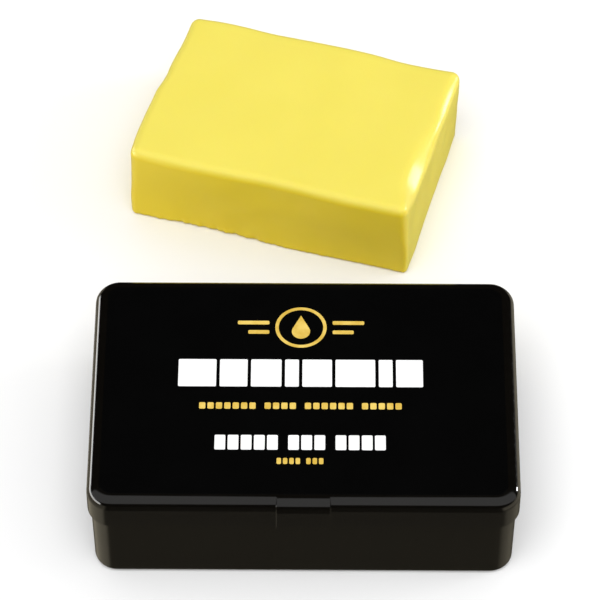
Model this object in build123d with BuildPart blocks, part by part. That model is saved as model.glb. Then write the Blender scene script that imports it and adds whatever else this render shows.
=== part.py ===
"""Clay bar for car paint, with the hinged plastic case it is kept in.

Millimetres. The origin is the centre of the case's underside. +X runs along the hinge,
+Y points to the hinge side, -Y to the catch, and +Z up. The bar lies flat behind the case.
"""
import os
from math import atan, cos, degrees, radians, sin

from build123d import *

os.makedirs("parts", exist_ok=True)

# ---- case: driving dimensions ----
case_width = 92.0
case_depth = 61.5
case_height = 26.0
lid_height = 8.0
corner_radius = 5.4
lid_edge_radius = 2.4
lid_wall = 1.5
lid_inner_fillet = 0.9

# The tub stands a little inside the lid's skirt and narrows towards its underside.
base_step = 0.7
base_narrowing = 0.25
base_corner_radius = 5.2
base_edge_radius = 1.4
base_wall = 1.8
base_floor = 1.6
base_inner_fillet = 1.6
parting_gap = 0.15

# Round ejector marks left by moulding, on the tub's floor and inside the lid's top.
ejector_mark_radius = 2.0
ejector_mark_depth = 0.12
ejector_mark_spacing = (62.0, 34.0)

# ---- tongue on the tub's rim, which the lid closes over ----
tongue_height = 2.2
tongue_thickness = 0.8
tongue_clearance = 0.2
tongue_back_end = 18.0
tongue_edge_radius = 0.3

# ---- catch: a bead on the tongue, a groove and a tab on the lid ----
catch_length = 9.0
catch_height = 1.2
catch_bead_radius = 0.35
catch_bead_proud = 0.12
catch_groove_radius = 0.6
tab_width = 11.7
tab_proud = 0.5
tab_side_bevel = (0.22, 0.42)
tab_foot_radius = 0.45
skirt_edge_radius = 0.25

# ---- hinge: two stations, each tub knuckle / lid knuckle / tub knuckle on one pin ----
hinge_back = 2.05
hinge_rise = 0.6
hinge_spacing = 54.0
knuckle_radius = 1.8
lid_knuckle_width = 6.0
base_knuckle_width = 4.0
knuckle_gap = 0.3
pin_diameter = 1.5
pin_running_clearance = 0.05
pin_end_inset = 0.2
pin_end_chamfer = 0.2
web_foot_drop = 5.9
web_overlap = 0.8
lid_web_rise = 4.0
skirt_clearance = 0.4

# The heel on each lid knuckle meets the tub's back wall just past the lid's last degree.
heel_angle = -29.0
heel_length = 3.3
heel_thickness = 1.6

# ---- label film and its printed layers ----
label_margin = 0.4
label_corner_radius = 2.6
label_thickness = 0.12
print_thickness = 0.05
art_centre_x = -0.8
emblem_y = 16.9
emblem_radius = 5.6
emblem_ring = 0.75
emblem_rules = ((1.3, 6.9), (-1.3, 4.6))
emblem_rule_height = 1.0
emblem_rule_gap = 1.3
drop_radius = 2.0
drop_height = 4.4
drop_lower = 1.1
block_corner_radius = 0.3

# Each printed line is one or more groups of blocks, like words: the line's centre, the blocks'
# height, the gap between blocks, the gap between groups, and the block widths of each group.
printed_lines = {
    "print_headline": (4.3, 7.4, 0.75, 0.0, [(8.2, 6.0, 6.6, 3.0, 6.4, 8.6, 3.0, 5.8)]),
    "print_strapline": (-4.6, 1.7, 0.45, 1.9, [(1.35,) * count for count in (7, 4, 6, 5)]),
    "print_product_line": (-14.4, 3.9, 0.5, 2.2, [(2.3,) * count for count in (5, 3, 4)]),
    "print_grade_line": (-19.3, 1.6, 0.4, 1.3, [(0.95,) * count for count in (4, 3)]),
}

# ---- the bar ----
bar_length = 67.0
bar_width = 46.5
bar_height = 22.2
bar_corner_radius = 2.3
bar_top_radius = 2.2
bar_foot_radius = 1.5
bar_yaw = -16.0
bar_centre_x = -2.4
bar_nearest_y = 52.0

# ---- derived dimensions ----
split_height = case_height - lid_height
rim_height = split_height - parting_gap
lid_front = case_depth / 2
base_draft = degrees(atan(base_narrowing / rim_height))
base_width = case_width - 2 * base_step
base_depth = case_depth - 2 * base_step
tongue_inset = lid_wall + tongue_clearance
tongue_front = -(lid_front - tongue_inset)
hinge_y = lid_front + hinge_back
hinge_z = split_height + hinge_rise
station_width = lid_knuckle_width + 2 * (base_knuckle_width + knuckle_gap)
station_centres = {"left": -hinge_spacing / 2, "right": hinge_spacing / 2}


def facing_down(height):
    """Give a plane at a height whose normal points down."""
    return Plane(origin=(0, 0, height), z_dir=(0, 0, -1))


def edges_at_height(piece, height, tolerance=0.01):
    """Pick a piece's level edges at one height."""
    return piece.edges().filter_by_position(Axis.Z, height - tolerance, height + tolerance)


def ejector_marks():
    """Draw the four round ejector marks."""
    with GridLocations(*ejector_mark_spacing, 2, 2):
        Circle(ejector_mark_radius)


def knuckle_profile(web):
    """Draw a disc round the pin and the web that joins it to its wall, seen along the hinge."""
    with Locations((hinge_y, hinge_z)):
        Circle(knuckle_radius)
    Polygon(*web, align=None)


def row_of_blocks(height, gap, group_gap, groups):
    """Draw groups of round-cornered blocks in one row about the origin."""
    gaps = gap * sum(len(group) - 1 for group in groups) + group_gap * (len(groups) - 1)
    left = -(sum(sum(group) for group in groups) + gaps) / 2
    for group in groups:
        for width in group:
            with Locations((left + width / 2, 0)):
                RectangleRounded(width, height, block_corner_radius)
            left += width + gap
        left += group_gap - gap


def print_plane(y):
    """Give the label's printed surface, centred on the artwork at one distance from the hinge line."""
    return Plane(origin=(art_centre_x, y, case_height + label_thickness))


# The tub's web leaves the back wall under the lid's skirt and reaches the disc's rearmost line.
base_back = lid_front - base_step
base_web = (
    (base_back - web_overlap, split_height - skirt_clearance),
    (hinge_y, split_height - skirt_clearance),
    (hinge_y + knuckle_radius, hinge_z),
    (hinge_y + knuckle_radius, hinge_z - knuckle_radius),
    (base_back - web_overlap, rim_height - web_foot_drop),
)

# The lid's web rises from the disc to the back of the lid.
lid_web = (
    (lid_front - web_overlap, split_height),
    (hinge_y, split_height),
    (hinge_y + knuckle_radius, hinge_z),
    (hinge_y + knuckle_radius / 2, hinge_z + knuckle_radius),
    (lid_front, hinge_z + lid_web_rise),
    (lid_front - web_overlap, hinge_z + lid_web_rise),
)

# ---- case_base: tub, tongue, catch bead and the tub's hinge knuckles ----
with BuildPart() as case_base:
    with BuildSketch(facing_down(rim_height)):
        RectangleRounded(base_width, base_depth, base_corner_radius)
    extrude(amount=rim_height, taper=base_draft)
    fillet(case_base.edges().group_by(Axis.Z)[0], base_edge_radius)

    base_arm_offset = (lid_knuckle_width + base_knuckle_width) / 2 + knuckle_gap
    for centre in station_centres.values():
        for side in (-1, 1):
            arm_centre = centre + side * base_arm_offset
            with BuildSketch(Plane.YZ.offset(arm_centre)):
                knuckle_profile(base_web)
            extrude(amount=base_knuckle_width / 2, both=True)

    with BuildSketch(facing_down(rim_height)):
        RectangleRounded(
            base_width - 2 * base_wall, base_depth - 2 * base_wall, base_corner_radius - base_wall
        )
    extrude(amount=rim_height - base_floor, taper=base_draft, mode=Mode.SUBTRACT)
    fillet(edges_at_height(case_base, base_floor), base_inner_fillet)
    with BuildSketch(facing_down(base_floor)):
        ejector_marks()
    extrude(amount=ejector_mark_depth, mode=Mode.SUBTRACT)

    tongue_width = case_width - 2 * tongue_inset
    tongue_depth = case_depth - 2 * tongue_inset
    tongue_radius = base_corner_radius - base_wall + tongue_thickness
    with BuildSketch(Plane.XY.offset(rim_height)):
        RectangleRounded(tongue_width, tongue_depth, tongue_radius)
        RectangleRounded(
            tongue_width - 2 * tongue_thickness,
            tongue_depth - 2 * tongue_thickness,
            tongue_radius - tongue_thickness,
            mode=Mode.SUBTRACT,
        )
        with Locations((0, tongue_back_end)):
            Rectangle(case_width, case_depth, align=(Align.CENTER, Align.MIN), mode=Mode.SUBTRACT)
    extrude(amount=tongue_height)
    fillet(edges_at_height(case_base, rim_height + tongue_height), tongue_edge_radius)

    bead_y = tongue_front - catch_bead_proud + catch_bead_radius
    with BuildSketch(Plane.YZ):
        with Locations((bead_y, split_height + catch_height)):
            Circle(catch_bead_radius)
    extrude(amount=catch_length / 2, both=True)

    with BuildSketch(Plane.YZ):
        with Locations((hinge_y, hinge_z)):
            Circle(pin_diameter / 2)
    extrude(amount=case_width / 2, both=True, mode=Mode.SUBTRACT)
case_base.part.label = "case_base"
export_step(case_base.part, "parts/case_base.step")

# ---- the catch tab, before it is joined to the lid ----
tab_front = -(lid_front + tab_proud)
flat_front = -(lid_front - lid_edge_radius)
with BuildPart() as tab:
    with BuildSketch(Plane.YZ):
        with BuildLine():
            Polyline(
                (tab_front + tab_foot_radius, split_height),
                (flat_front, split_height),
                (flat_front, case_height),
                (tab_front + lid_edge_radius, case_height),
            )
            RadiusArc(
                (tab_front + lid_edge_radius, case_height),
                (tab_front, case_height - lid_edge_radius),
                -lid_edge_radius,
            )
            Line((tab_front, case_height - lid_edge_radius), (tab_front, split_height + tab_foot_radius))
            RadiusArc(
                (tab_front, split_height + tab_foot_radius),
                (tab_front + tab_foot_radius, split_height),
                -tab_foot_radius,
            )
        make_face()
    extrude(amount=tab_width / 2, both=True)
    for side in tab.faces().filter_by(Axis.X):
        front_edges = side.edges().sort_by(Axis.Y)[:-1]
        chamfer(front_edges, tab_side_bevel[1], tab_side_bevel[0], reference=side)

# ---- case_lid: lid, catch tab and groove, hinge knuckles and their stop heels ----
with BuildPart() as case_lid:
    with BuildSketch(Plane.XY.offset(split_height)):
        RectangleRounded(case_width, case_depth, corner_radius)
    extrude(amount=lid_height)
    fillet(case_lid.edges().group_by(Axis.Z)[-1], lid_edge_radius)
    fillet(case_lid.edges().group_by(Axis.Z)[0], skirt_edge_radius)

    add(tab.part)

    for centre in station_centres.values():
        with BuildSketch(Plane.YZ.offset(centre)):
            knuckle_profile(lid_web)
            with Locations(Location((hinge_y, hinge_z, 0), (0, 0, heel_angle))):
                Rectangle(heel_length, heel_thickness, align=(Align.MIN, Align.CENTER))
        extrude(amount=lid_knuckle_width / 2, both=True)

    with BuildSketch(Plane.XY.offset(split_height)):
        RectangleRounded(
            case_width - 2 * lid_wall, case_depth - 2 * lid_wall, corner_radius - lid_wall
        )
    extrude(amount=lid_height - lid_wall, mode=Mode.SUBTRACT)
    fillet(edges_at_height(case_lid, case_height - lid_wall), lid_inner_fillet)
    with BuildSketch(Plane.XY.offset(case_height - lid_wall)):
        ejector_marks()
    extrude(amount=ejector_mark_depth, mode=Mode.SUBTRACT)

    with BuildSketch(Plane.YZ):
        with Locations((bead_y, split_height + catch_height)):
            Circle(catch_groove_radius)
    extrude(amount=catch_length / 2 + catch_groove_radius, both=True, mode=Mode.SUBTRACT)

    with BuildSketch(Plane.YZ):
        with Locations((hinge_y, hinge_z)):
            Circle(pin_diameter / 2 + pin_running_clearance)
    extrude(amount=case_width / 2, both=True, mode=Mode.SUBTRACT)
case_lid.part.label = "case_lid"
export_step(case_lid.part, "parts/case_lid.step")

# ---- hinge pins ----
pin_length = station_width - 2 * pin_end_inset
for side_name, centre in station_centres.items():
    with BuildPart() as hinge_pin:
        with BuildSketch(Plane.YZ.offset(centre)):
            with Locations((hinge_y, hinge_z)):
                Circle(pin_diameter / 2)
        extrude(amount=pin_length / 2, both=True)
        chamfer(hinge_pin.edges().filter_by(GeomType.CIRCLE), pin_end_chamfer)
    hinge_pin.part.label = f"hinge_pin_{side_name}"
    export_step(hinge_pin.part, f"parts/hinge_pin_{side_name}.step")

# ---- lid_label: the film on the lid's flat top ----
flat_width = case_width - 2 * lid_edge_radius
flat_depth = case_depth - 2 * lid_edge_radius
with BuildPart() as lid_label:
    with BuildSketch(Plane.XY.offset(case_height)):
        RectangleRounded(flat_width - 2 * label_margin, flat_depth - 2 * label_margin, label_corner_radius)
    extrude(amount=label_thickness)
lid_label.part.label = "lid_label"
export_step(lid_label.part, "parts/lid_label.step")

# ---- print_emblem: a ring with a water drop, and two plain rules on each side ----
tangent_rise = drop_radius**2 / drop_height
tangent_reach = drop_radius * (1 - (drop_radius / drop_height) ** 2) ** 0.5
with BuildPart() as print_emblem:
    with BuildSketch(print_plane(emblem_y)):
        Circle(emblem_radius)
        Circle(emblem_radius - emblem_ring, mode=Mode.SUBTRACT)
        with BuildLine():
            Polyline(
                (tangent_reach, tangent_rise - drop_lower),
                (0, drop_height - drop_lower),
                (-tangent_reach, tangent_rise - drop_lower),
            )
            ThreePointArc(
                (-tangent_reach, tangent_rise - drop_lower),
                (0, -drop_radius - drop_lower),
                (tangent_reach, tangent_rise - drop_lower),
            )
        make_face()
        for side in (-1, 1):
            for rule_y, length in emblem_rules:
                start = emblem_radius + emblem_rule_gap
                with Locations((side * (start + length / 2), rule_y)):
                    RectangleRounded(length, emblem_rule_height, block_corner_radius)
    extrude(amount=print_thickness)
print_emblem.part.label = "print_emblem"
export_step(print_emblem.part, "parts/print_emblem.step")

# ---- printed lines, as plain blocks in place of any wording ----
for name, (centre_y, height, gap, group_gap, groups) in printed_lines.items():
    with BuildPart() as printed_line:
        with BuildSketch(print_plane(centre_y)):
            row_of_blocks(height, gap, group_gap, groups)
        extrude(amount=print_thickness)
    printed_line.part.label = name
    export_step(printed_line.part, f"parts/{name}.step")

# ---- clay_bar: a cut block of clay, turned a little, lying on the surface behind the case ----
half_turned_depth = (bar_length * sin(radians(abs(bar_yaw))) + bar_width * cos(radians(bar_yaw))) / 2
bar_centre = (bar_centre_x, bar_nearest_y + half_turned_depth, 0)
bar_plane = Plane(bar_centre).rotated((0, 0, bar_yaw))
with BuildPart() as clay_bar:
    with BuildSketch(bar_plane):
        RectangleRounded(bar_length, bar_width, bar_corner_radius)
    extrude(amount=bar_height)
    fillet(clay_bar.edges().group_by(Axis.Z)[-1], bar_top_radius)
    fillet(clay_bar.edges().group_by(Axis.Z)[0], bar_foot_radius)
clay_bar.part.label = "clay_bar"
export_step(clay_bar.part, "parts/clay_bar.step")
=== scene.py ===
"""Looks of the clay bar and its hinged case. Metres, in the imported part's own frame."""
import math

import bpy
from mathutils import Matrix, Vector, noise


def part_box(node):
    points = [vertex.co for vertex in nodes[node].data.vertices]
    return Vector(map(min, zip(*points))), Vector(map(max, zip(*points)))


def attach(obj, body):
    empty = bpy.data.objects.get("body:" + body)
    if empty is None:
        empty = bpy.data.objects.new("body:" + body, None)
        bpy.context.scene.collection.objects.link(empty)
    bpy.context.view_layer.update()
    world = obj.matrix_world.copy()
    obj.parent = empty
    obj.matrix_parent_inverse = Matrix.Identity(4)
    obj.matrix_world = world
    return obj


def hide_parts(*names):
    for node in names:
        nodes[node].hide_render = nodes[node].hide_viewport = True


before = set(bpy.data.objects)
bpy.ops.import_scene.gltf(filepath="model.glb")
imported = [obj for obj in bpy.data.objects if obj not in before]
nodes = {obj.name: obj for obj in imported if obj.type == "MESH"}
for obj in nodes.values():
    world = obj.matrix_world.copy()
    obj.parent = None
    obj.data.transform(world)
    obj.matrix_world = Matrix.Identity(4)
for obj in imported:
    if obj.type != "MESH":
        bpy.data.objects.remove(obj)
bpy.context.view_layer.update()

MM = 0.001


# ---------------------------------------------------------------- camera

CAMERA_TARGET = Vector((-0.0012, 0.0457, 0.0))
CAMERA_ELEVATION = math.radians(51.1)
CAMERA_HEADING = math.radians(0.36)
CAMERA_DISTANCE = 0.860
CAMERA_LENS = 225.9
CAMERA_SENSOR = 36.0


def make_camera():
    """Look down on the case from in front, a little to the right, through a long lens."""
    level = Vector((-math.sin(CAMERA_HEADING), math.cos(CAMERA_HEADING), 0))
    forward = level * math.cos(CAMERA_ELEVATION) - Vector((0, 0, math.sin(CAMERA_ELEVATION)))
    data = bpy.data.cameras.new("camera")
    data.lens = CAMERA_LENS
    data.sensor_width = CAMERA_SENSOR
    data.clip_start = 0.05
    camera = bpy.data.objects.new("camera", data)
    camera.location = CAMERA_TARGET - forward * CAMERA_DISTANCE
    camera.rotation_euler = forward.to_track_quat("-Z", "Y").to_euler()
    bpy.context.scene.collection.objects.link(camera)
    bpy.context.scene.camera = camera


make_camera()


# ---------------------------------------------------------------- shader helpers

NOISE_ROUGHNESS = 0.55


def new_material(name):
    """Start a node material and give its tree and its Principled shader."""
    material = bpy.data.materials.new(name)
    material.use_nodes = True
    tree = material.node_tree
    return material, tree, tree.nodes["Principled BSDF"]


def add(tree, kind, **values):
    """Add a node, and set its properties or, by socket name, its inputs."""
    node = tree.nodes.new(kind)
    for key, value in values.items():
        if hasattr(node, key):
            setattr(node, key, value)
        else:
            node.inputs[key.replace("_", " ")].default_value = value
    return node


def math_node(tree, operation, *inputs):
    """Add a math node fed by sockets or plain numbers, and give its output."""
    node = add(tree, "ShaderNodeMath", operation=operation)
    for socket, value in zip(node.inputs, inputs):
        if isinstance(value, (int, float)):
            socket.default_value = value
        else:
            tree.links.new(value, socket)
    return node.outputs["Value"]


def noise_node(tree, size, detail=3.0, stretch=(1, 1, 1)):
    """Add noise whose blobs are about `size` metres across, in the piece's own coordinates."""
    coords = add(tree, "ShaderNodeTexCoord")
    mapping = add(tree, "ShaderNodeMapping")
    mapping.inputs["Scale"].default_value = [1 / s for s in stretch]
    texture = add(
        tree, "ShaderNodeTexNoise", Scale=1 / size, Detail=detail, Roughness=NOISE_ROUGHNESS
    )
    tree.links.new(coords.outputs["Object"], mapping.inputs["Vector"])
    tree.links.new(mapping.outputs["Vector"], texture.inputs["Vector"])
    return texture


def ramp_node(tree, source, low, high, low_at=0.35, high_at=0.65):
    """Turn a value into a colour or a number: low below low_at, and high above high_at."""
    if isinstance(low, (int, float)):
        node = add(tree, "ShaderNodeMapRange", clamp=True)
        node.inputs["From Min"].default_value = low_at
        node.inputs["From Max"].default_value = high_at
        node.inputs["To Min"].default_value = low
        node.inputs["To Max"].default_value = high
        tree.links.new(source, node.inputs["Value"])
        return node.outputs["Result"]
    node = add(tree, "ShaderNodeValToRGB")
    node.color_ramp.elements[0].position = low_at
    node.color_ramp.elements[0].color = (*low, 1)
    node.color_ramp.elements[1].position = high_at
    node.color_ramp.elements[1].color = (*high, 1)
    tree.links.new(source, node.inputs["Fac"])
    return node.outputs["Color"]


def bump_node(tree, source, depth):
    """Bump by a height map whose full range is `depth` metres."""
    node = add(tree, "ShaderNodeBump", Strength=1.0, Distance=depth)
    tree.links.new(source, node.inputs["Height"])
    return node.outputs["Normal"]


# ---------------------------------------------------------------- materials

# Colours are linear. Each pair holds the two ends of a slow drift.
# The first two clay pairs hold one clay colour twice. The paler one is painted light for the top and
# right end, and the deeper, more orange one is painted shade for the other sides.
CLAY_PAINTED_LIT = (0.785, 0.675, 0.1), (0.805, 0.693, 0.11)
CLAY_PAINTED_SHADE = (0.79, 0.6, 0.023), (0.81, 0.62, 0.028)
GOLD = (0.62, 0.40, 0.05), (0.78, 0.56, 0.12)
WHITE = (0.86, 0.86, 0.86), (0.93, 0.93, 0.93)
STEEL = (0.45, 0.45, 0.46), (0.62, 0.62, 0.63)
LID_BLACK = (0.0030, 0.0025, 0.0019)
TUB_BLACK = (0.0040, 0.0033, 0.0020)
LABEL_BLACK = (0.0017, 0.0017, 0.0017)

# Roughness that crosses 0.27 on one material shows as hard-edged patches once the picture is
# denoised, so each of these stays wholly on one side of it.
CLAY_ROUGHNESS = 0.285, 0.33
INK_ROUGHNESS = 0.3, 0.42
STEEL_ROUGHNESS = 0.3, 0.42
LID_ROUGHNESS = 0.09
TUB_ROUGHNESS = 0.12
LABEL_ROUGHNESS = 0.06

# Ramp ends that take in most of the range from 0 to 1, so that no flat patches show.
WIDE = {"low_at": 0.2, "high_at": 0.8}


def clay_material():
    """Soft yellow putty with a waxy gloss. Its colour is painted paler on the top and right end as
    painted light, and deeper and more orange on the other sides as painted shade.
    """
    material, tree, shader = new_material("clay")
    mottle = noise_node(tree, 13 * MM, detail=1)
    painted_lit = ramp_node(tree, mottle.outputs["Fac"], *CLAY_PAINTED_LIT, **WIDE)
    painted_shade = ramp_node(tree, mottle.outputs["Fac"], *CLAY_PAINTED_SHADE, **WIDE)
    coords = add(tree, "ShaderNodeTexCoord")
    split = add(tree, "ShaderNodeSeparateXYZ")
    tree.links.new(coords.outputs["Normal"], split.inputs["Vector"])
    # The way each face points picks the painted light. The top and right end take the paler
    # painted-lit colour, and the other sides take the deeper painted shade.
    painted_lit_top = ramp_node(tree, split.outputs["Z"], 0.0, 1.0, **WIDE)
    painted_lit_right = ramp_node(tree, split.outputs["X"], 0.0, 0.9, low_at=0.3, high_at=0.9)
    painted_light_mix = add(tree, "ShaderNodeMix", data_type="RGBA")
    tree.links.new(math_node(tree, "MAXIMUM", painted_lit_top, painted_lit_right), painted_light_mix.inputs["Factor"])
    tree.links.new(painted_shade, painted_light_mix.inputs["A"])
    tree.links.new(painted_lit, painted_light_mix.inputs["B"])
    tree.links.new(painted_light_mix.outputs["Result"], shader.inputs["Base Color"])
    rub = noise_node(tree, 11 * MM, detail=1)
    rough = ramp_node(tree, rub.outputs["Fac"], *CLAY_ROUGHNESS, **WIDE)
    tree.links.new(rough, shader.inputs["Roughness"])
    grain = noise_node(tree, 0.5 * MM, detail=4)
    normal = bump_node(tree, grain.outputs["Fac"], 0.02 * MM)
    tree.links.new(normal, shader.inputs["Normal"])
    shader.inputs["Subsurface Weight"].default_value = 0.25
    shader.inputs["Subsurface Radius"].default_value = (1.0, 0.75, 0.2)
    shader.inputs["Subsurface Scale"].default_value = 1.5 * MM
    return material


def plastic_material(name, colour, roughness):
    """Glossy black moulded plastic with faint swirls of fine wear."""
    material, tree, shader = new_material(name)
    cloud = noise_node(tree, 14 * MM)
    darker = tuple(c * 0.85 for c in colour)
    tree.links.new(ramp_node(tree, cloud.outputs["Fac"], darker, colour), shader.inputs["Base Color"])
    wear = noise_node(tree, 1.2 * MM, detail=6, stretch=(3, 1, 1))
    rough = ramp_node(tree, wear.outputs["Fac"], roughness, roughness * 1.6)
    tree.links.new(rough, shader.inputs["Roughness"])
    return material


def ink_material(name, colours):
    """Printed ink with a slow drift of tone."""
    material, tree, shader = new_material(name)
    drift = noise_node(tree, 3 * MM)
    tree.links.new(ramp_node(tree, drift.outputs["Fac"], *colours), shader.inputs["Base Color"])
    tree.links.new(ramp_node(tree, drift.outputs["Fac"], *INK_ROUGHNESS), shader.inputs["Roughness"])
    return material


def steel_material():
    """Drawn steel wire, with its lines running along the pin."""
    material, tree, shader = new_material("pin_steel")
    lines = noise_node(tree, 0.4 * MM, stretch=(12, 1, 1))
    tree.links.new(ramp_node(tree, lines.outputs["Fac"], *STEEL), shader.inputs["Base Color"])
    tree.links.new(ramp_node(tree, lines.outputs["Fac"], *STEEL_ROUGHNESS), shader.inputs["Roughness"])
    shader.inputs["Metallic"].default_value = 1.0
    return material


def paint(node_name, material):
    """Give one CAD node a material."""
    for slot in nodes[node_name].material_slots:
        slot.material = material


lid_plastic = plastic_material("lid_plastic", LID_BLACK, LID_ROUGHNESS)
tub_plastic = plastic_material("tub_plastic", TUB_BLACK, TUB_ROUGHNESS)
label_film = plastic_material("label_film", LABEL_BLACK, LABEL_ROUGHNESS)
gold_ink = ink_material("gold_ink", GOLD)
white_ink = ink_material("white_ink", WHITE)
steel = steel_material()
clay = clay_material()

paint("case_lid", lid_plastic)
paint("case_base", tub_plastic)
paint("lid_label", label_film)
for name in ("print_emblem", "print_strapline", "print_grade_line"):
    paint(name, gold_ink)
for name in ("print_headline", "print_product_line"):
    paint(name, white_ink)
for name in ("hinge_pin_left", "hinge_pin_right"):
    paint(name, steel)


# ---------------------------------------------------------------- clay bar

BAR_LENGTH = 67 * MM
BAR_WIDTH = 46.5 * MM
BAR_YAW = math.radians(-16)
GRID_STEP = 0.42 * MM
TOP_RADIUS = 2.2 * MM
BOTTOM_RADIUS = 1.1 * MM

# The block starts this much smaller all round, so that its swells stay inside the CAD bar's box.
SWELL_ROOM = 0.45 * MM

# The marks of the hand and the wire: how far each one moves the clay and, where it repeats, how
# long one of them is.
SWELL_SIZE, SWELL_DEPTH = 19 * MM, 0.75 * MM
DIMPLE_SIZE, DIMPLE_DEPTH = 6.5 * MM, 0.16 * MM
SAG_DEPTH = 0.35 * MM
BACK_WAVE_DEPTH = 0.3 * MM
LEFT_STEP, LEFT_NICK, LEFT_BULGE = 0.85 * MM, 0.5 * MM, 0.7 * MM
PRESS_NEAR, PRESS_FAR, PRESS_SOFTNESS = 1.4 * MM, 0.25 * MM, 0.3 * MM
RIGHT_BULGE = 0.5 * MM
TOOTH_SIZE, TOOTH_DEPTH = 0.62 * MM, 0.22 * MM
TOOTH_DRIFT_SIZE, TOOTH_DRIFT = 5 * MM, 2.6
TEAR_SIZE, TEAR_DEPTH = 2.3 * MM, 0.35 * MM
FRONT_LEAN = 0.5 * MM


def smooth(low, high, value):
    """Step smoothly from 0 at low to 1 at high."""
    t = min(max((value - low) / (high - low), 0.0), 1.0)
    return t * t * (3 - 2 * t)


def hill(point, centre, spread):
    """A smooth hill of height 1 at centre that fades out over spread, each way."""
    distance_squared = sum(((p - c) / s) ** 2 for p, c, s in zip(point, centre, spread))
    return math.exp(-distance_squared)


def rounded(point, half, radius):
    """Move a point of a plain box's surface onto the same box with rounded edges."""
    inner = Vector(min(max(p, radius - h), h - radius) for p, h in zip(point, half))
    return inner + (point - inner).normalized() * radius


def press(p, half, depth):
    """Give the push that presses the right end's top edge into a slope, `depth` below its crown."""
    slope = Vector((1, 0, 1)).normalized()
    crown = -TOP_RADIUS * (math.sqrt(2) - 1)
    over = (p - Vector((half.x, p.y, half.z))).dot(slope) - crown + depth
    return -slope * PRESS_SOFTNESS * math.log1p(math.exp(over / PRESS_SOFTNESS))


def sculpt(point, half):
    """Work the block as a hand and a cutting wire would leave it.

    Places along the block are shares of its half size, from -1 to 1.
    """
    share = Vector(p / h for p, h in zip(point, half))
    radius = BOTTOM_RADIUS + (TOP_RADIUS - BOTTOM_RADIUS) * smooth(-0.5, 0.7, share.z)
    p = rounded(point, half, radius)

    # Broad swells and small dimples all over.
    outward = (p - Vector(c * 0.8 for c in p)).normalized()
    swell = noise.noise(p / SWELL_SIZE) * SWELL_DEPTH + noise.noise(p / DIMPLE_SIZE) * DIMPLE_DEPTH
    move = outward * swell

    # The top sags a little in the middle and its back edge rises and falls.
    top = smooth(0.2, 1.0, share.z)
    move.z -= top * SAG_DEPTH * (1 - share.x**2) * (1 - share.y**2)
    back = smooth(0.55, 1.0, share.y) * top
    move.z += back * BACK_WAVE_DEPTH * math.sin(6.2 * share.x + 0.6)

    # The left end steps in behind a nick in its middle, and bulges in front of it.
    left = smooth(-0.7, -1.0, share.x)
    move.x += left * LEFT_STEP * smooth(0.02, 0.2, share.y)
    move.x += left * LEFT_NICK * hill((share.y,), (0.05,), (0.09,))
    move.x -= left * LEFT_BULGE * hill((share.y,), (-0.55,), (0.35,))

    # The right end's top edge is pressed flat in two places, and its foot swells behind.
    near = smooth(-0.98, -0.5, share.y) * smooth(0.3, -0.35, share.y)
    far = smooth(0.1, 0.5, share.y) * smooth(1.0, 0.7, share.y)
    move += press(p, half, PRESS_NEAR) * near + press(p, half, PRESS_FAR) * far
    right = smooth(0.6, 1.0, share.x)
    move.x += right * RIGHT_BULGE * hill((share.y, share.z), (0.6, -0.2), (0.4, 0.7))

    # The front's lower edge is finely torn where the block was cut, least towards its ends.
    foot = smooth(-0.72, -0.98, share.z) * smooth(-0.85, -1.0, share.y)
    torn = 0.3 + 0.7 * smooth(0.6, 0.1, share.x) * smooth(-0.95, -0.7, share.x)
    drift = TOOTH_DRIFT * noise.noise(Vector((point.x / TOOTH_DRIFT_SIZE, 0, 0)))
    tooth = abs(math.sin(point.x / TOOTH_SIZE + drift))
    tear = noise.noise(Vector((point.x / TEAR_SIZE, 3.1, 0)))
    move.y += foot * torn * (TOOTH_DEPTH * (0.5 - tooth) + TEAR_DEPTH * tear)

    # The front leans in a little towards its foot.
    front = smooth(-0.6, -1.0, share.y)
    move.y += front * FRONT_LEAN * smooth(0.4, -1.0, share.z)
    moved = p + move
    moved.z = max(moved.z, -half.z)
    return moved


def shell_faces(counts):
    """List the quads of a box-shaped lattice's surface, each as four lattice points."""
    faces = []
    for axis in range(3):
        u, v = (axis + 1) % 3, (axis + 2) % 3
        for end in (0, counts[axis]):
            for i in range(counts[u]):
                for j in range(counts[v]):
                    quad = []
                    for du, dv in ((0, 0), (1, 0), (1, 1), (0, 1)):
                        corner = [0, 0, 0]
                        corner[axis] = end
                        corner[u] = i + du
                        corner[v] = j + dv
                        quad.append(tuple(corner))
                    faces.append(quad if end else quad[::-1])
    return faces


def make_clay_bar():
    """Build the block of clay where its CAD solid lies."""
    low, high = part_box("clay_bar")
    half = Vector((BAR_LENGTH / 2 - SWELL_ROOM, BAR_WIDTH / 2 - SWELL_ROOM, (high.z - low.z) / 2))
    counts = [round(2 * h / GRID_STEP) for h in half]
    index = {}
    points = []
    faces = []
    for quad in shell_faces(counts):
        for corner in quad:
            if corner not in index:
                index[corner] = len(points)
                place = Vector((2 * c / n - 1) * h for c, n, h in zip(corner, counts, half))
                points.append(sculpt(place, half))
        faces.append([index[corner] for corner in quad])
    mesh = bpy.data.meshes.new("clay_block")
    mesh.from_pydata(points, [], faces)
    mesh.transform(Matrix.Translation((low + high) / 2) @ Matrix.Rotation(BAR_YAW, 4, "Z"))
    mesh.polygons.foreach_set("use_smooth", [True] * len(mesh.polygons))
    block = bpy.data.objects.new("clay_block", mesh)
    bpy.context.scene.collection.objects.link(block)
    mesh.materials.append(clay)
    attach(block, "clay_bar")
    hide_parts("clay_bar")


make_clay_bar()


# ---------------------------------------------------------------- floor, world and lights

FLOOR_HALF = 4.0
FLOOR_WHITE = (0.9, 0.9, 0.9, 1)
FLOOR_ROUGHNESS = 0.9

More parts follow.
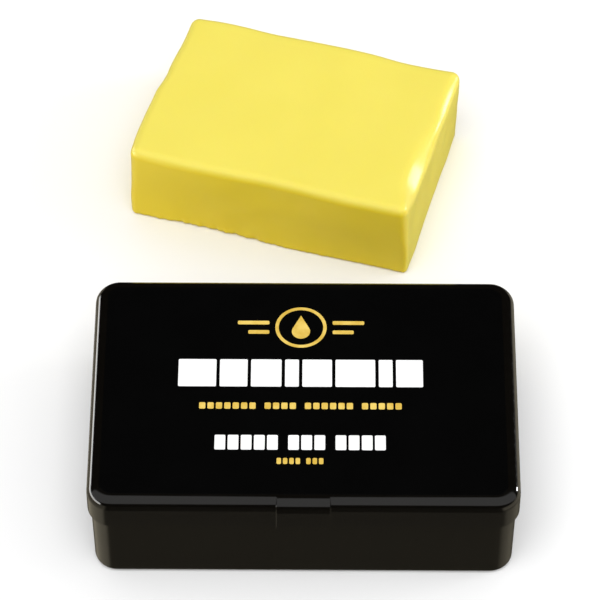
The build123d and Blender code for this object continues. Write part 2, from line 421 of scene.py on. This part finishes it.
# The room's even light, and the levels of the things that gloss mirrors instead of the room.
AMBIENT = 0.75
CARD = 0.75
LEFT_SIDE = 0.5
RIGHT_SIDE = 0.25
NEAR_GROUND = 0.085
GROUND = 0.045
LEFT_STRIP = 9.0
RIGHT_STRIP = 0.55
GROUND_TINT = (1.0, 0.9, 0.68)

# The overhead card's front and back edges, in degrees up from the front horizon: each gives where
# the card is still dark, then where it is fully lit.
CARD_FRONT = 29, 35
CARD_BACK = 118, 112

LIGHT_AIM = Vector((0, 0.04, 0))


def make_floor():
    """Lay a plain pale floor under everything. The plastic mirrors the studio below instead."""
    mesh = bpy.data.meshes.new("floor")
    corners = [(x * FLOOR_HALF, y * FLOOR_HALF, 0) for x, y in ((-1, -1), (1, -1), (1, 1), (-1, 1))]
    mesh.from_pydata(corners, [], [(0, 1, 2, 3)])
    floor = bpy.data.objects.new("floor", mesh)
    bpy.context.scene.collection.objects.link(floor)
    material, _, shader = new_material("floor")
    shader.inputs["Base Color"].default_value = FLOOR_WHITE
    shader.inputs["Roughness"].default_value = FLOOR_ROUGHNESS
    shader.inputs["Specular IOR Level"].default_value = 0.0
    floor.data.materials.append(material)
    floor.visible_glossy = False


def step_node(tree, value, low, high, to=1.0):
    """Rise smoothly from 0 at low to `to` at high. High may lie below low."""
    node = add(tree, "ShaderNodeMapRange", interpolation_type="SMOOTHSTEP")
    swapped = high < low
    node.inputs["From Min"].default_value = min(low, high)
    node.inputs["From Max"].default_value = max(low, high)
    node.inputs["To Min"].default_value = to if swapped else 0.0
    node.inputs["To Max"].default_value = 0.0 if swapped else to
    tree.links.new(value, node.inputs["Value"])
    return node.outputs["Result"]


def total(tree, *values):
    """Add up sockets or plain numbers."""
    result = values[0]
    for value in values[1:]:
        result = math_node(tree, "ADD", result, value)
    return result


def product(tree, *values):
    """Multiply sockets or plain numbers."""
    result = values[0]
    for value in values[1:]:
        result = math_node(tree, "MULTIPLY", result, value)
    return result


def make_world():
    """Light the room evenly, and give gloss a studio to mirror: a card, two strips, pale sides."""
    world = bpy.data.worlds.new("studio")
    bpy.context.scene.world = world
    world.use_nodes = True
    tree = world.node_tree
    coords = add(tree, "ShaderNodeTexCoord")
    split = add(tree, "ShaderNodeSeparateXYZ")
    tree.links.new(coords.outputs["Generated"], split.inputs["Vector"])
    x, y, z = (split.outputs[axis] for axis in "XYZ")

    # The overhead card runs from 32 degrees up in front to 25 degrees behind the top.
    angle = math_node(tree, "ARCTAN2", z, product(tree, y, -1.0))
    card = product(
        tree,
        step_node(tree, angle, *map(math.radians, CARD_FRONT)),
        step_node(tree, angle, *map(math.radians, CARD_BACK), to=CARD),
    )

    # Below the horizon lie a pale left side, a dimmer right one and a little light underfoot.
    below = step_node(tree, z, 0.03, -0.03)
    left_side = step_node(tree, x, -0.3, -0.46, to=LEFT_SIDE)
    right_side = step_node(tree, x, 0.36, 0.54, to=RIGHT_SIDE)
    underfoot = step_node(tree, z, -0.7, -0.82, to=NEAR_GROUND)
    ground = product(tree, below, total(tree, left_side, right_side, underfoot, GROUND))

    # A narrow bright strip stands on the left horizon, and a dim one hangs under the right.
    left_strip = product(
        tree,
        step_node(tree, z, -0.07, 0.0),
        step_node(tree, z, 0.26, 0.2),
        step_node(tree, x, -0.67, -0.74, to=LEFT_STRIP),
    )
    right_strip = product(
        tree,
        step_node(tree, z, -0.65, -0.5),
        below,
        step_node(tree, x, 0.3, 0.6, to=RIGHT_STRIP),
    )
    mirrored = total(tree, card, left_strip, right_strip, ground)

    background = tree.nodes["Background"]
    glossy = add(tree, "ShaderNodeLightPath").outputs["Is Glossy Ray"]
    level = add(tree, "ShaderNodeMix")
    level.inputs["A"].default_value = AMBIENT
    tree.links.new(glossy, level.inputs["Factor"])
    tree.links.new(mirrored, level.inputs["B"])
    tree.links.new(level.outputs["Result"], background.inputs["Strength"])
    tinted = product(tree, below, glossy)
    tint = ramp_node(tree, tinted, (1.0, 1.0, 1.0), GROUND_TINT, low_at=0.0, high_at=1.0)
    tree.links.new(tint, background.inputs["Color"])


def softbox(name, place, size, power, mirrored=False):
    """Hang one soft light that faces the bar and its case: it either lights or is mirrored."""
    data = bpy.data.lights.new(name, "AREA")
    data.shape = "RECTANGLE"
    data.size, data.size_y = size
    data.energy = power
    light = bpy.data.objects.new(name, data)
    light.location = place
    light.rotation_euler = (LIGHT_AIM - Vector(place)).to_track_quat("-Z", "Y").to_euler()
    light.visible_glossy = mirrored
    light.visible_diffuse = not mirrored
    bpy.context.scene.collection.objects.link(light)


make_floor()
make_world()
softbox("key", (-0.1, -0.4, 1.0), (0.9, 0.7), 6.5)
softbox("fill", (0.8, 0.1, 0.35), (0.4, 0.4), 2.1)
softbox("sheen", (0.84, 0.42, 0.17), (0.13, 0.18), 2.6, mirrored=True)
bpy.context.scene.view_settings.view_transform = "Standard"
